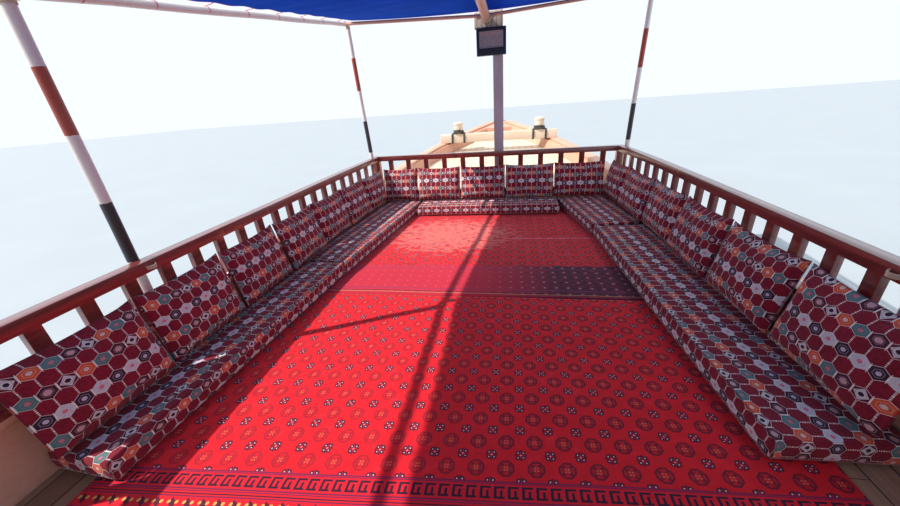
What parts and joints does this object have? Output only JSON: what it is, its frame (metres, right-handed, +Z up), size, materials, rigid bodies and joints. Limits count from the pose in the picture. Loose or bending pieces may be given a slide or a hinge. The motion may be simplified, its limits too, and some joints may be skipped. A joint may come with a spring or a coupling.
{
  "type": "motor dhow",
  "caption": "Wooden motor dhow with raked stem and transom, railed and carpeted seating deck under a cloth awning, foredeck, helm, rudder and propeller.",
  "frame": {"origin": "on the waterline amidships, on the centreline", "axes": "+Y forward to the bow, +X to starboard, +Z up"},
  "size_m": [4.549, 17.2489, 5.5066],
  "materials": {
    "planking": "oiled planking",
    "cream_paint": "peach and cream gloss paint",
    "rail_timber": "dark red-brown varnish",
    "deck_timber": "scrubbed planks",
    "pole_paint": "gloss paint in bands",
    "woven_cover": "woven, patterned",
    "carpet": "short woven pile",
    "awning_cloth": "plain blue cloth",
    "black_metal": "satin black",
    "lamp_glass": "clear",
    "bronze": "polished",
    "engine_iron": "grey enamel"
  },
  "bodies": {
    "hull": {"hull": "planking", "bulwark_port": "planking", "bulwark_starboard": "planking", "keel": "planking", "stem": "planking", "sternpost": "planking", "wale_port": "planking", "wale_starboard": "planking", "gunwale_cap_port": "cream_paint", "gunwale_cap_starboard": "cream_paint", "foredeck": "cream_paint", "mooring_beam": "cream_paint", "bitt_port": "cream_paint", "bitt_starboard": "cream_paint", "awning_ridge_frame": "cream_paint", "engine_box": "cream_paint", "helm_pedestal": "cream_paint", "rail_port": "rail_timber", "rail_starboard": "rail_timber", "rail_front": "rail_timber", "rail_stern": "rail_timber", "helm_bench": "rail_timber", "seating_deck": "deck_timber", "stern_deck": "deck_timber", "mast": "pole_paint", "awning_poles_port": "pole_paint", "awning_poles_starboard": "pole_paint", "mattress_front": "woven_cover", "mattress_port_forward": "woven_cover", "mattress_port_aft": "woven_cover", "mattress_starboard_forward": "woven_cover", "mattress_starboard_aft": "woven_cover", "cushion_front_1": "woven_cover", "cushion_front_2": "woven_cover", "cushion_front_3": "woven_cover", "cushion_front_4": "woven_cover", "cushion_front_5": "woven_cover", "cushion_port_1": "woven_cover", "cushion_port_2": "woven_cover", "cushion_port_3": "woven_cover", "cushion_port_4": "woven_cover", "cushion_port_5": "woven_cover", "cushion_port_6": "woven_cover", "cushion_port_7": "woven_cover", "cushion_starboard_1": "woven_cover", "cushion_starboard_2": "woven_cover", "cushion_starboard_3": "woven_cover", "cushion_starboard_4": "woven_cover", "cushion_starboard_5": "woven_cover", "cushion_starboard_6": "woven_cover", "carpet_forward": "carpet", "carpet_aft": "carpet", "awning": "awning_cloth", "floodlight": "black_metal", "floodlight_glass": "lamp_glass", "engine": "engine_iron"},
    "rudder": {"rudder": "planking"},
    "propeller": {"propeller": "bronze"},
    "wheel": {"steering_wheel": "rail_timber"},
    "engine_lid": {"engine_lid": "rail_timber"}
  },
  "joints": [
    {"name": "helm_turn", "type": "hinge", "parent": "hull", "child": "wheel", "pos_m": [0, -5.96, 2.14], "axis": [0, 1, 0], "range_deg": [-540, 540]},
    {"name": "rudder_swing", "type": "hinge", "parent": "hull", "child": "rudder", "pos_m": [0, -6.6833, -1.12772], "axis": [0, -0.3904, 0.9207], "range_deg": [-35, 35]},
    {"name": "propeller_spin", "type": "hinge", "parent": "hull", "child": "propeller", "pos_m": [0, -6.29, -0.56], "axis": [0, 1, 0], "continuous": true},
    {"name": "engine_lid_open", "type": "hinge", "parent": "hull", "child": "engine_lid", "pos_m": [-0.545, -4.26, 1.7703], "axis": [0, -1, 0], "range_deg": [0, 80]}
  ],
  "couplings": [
    {"joint": "rudder_swing", "follows": "helm_turn", "ratio": 0.064815}
  ]
}
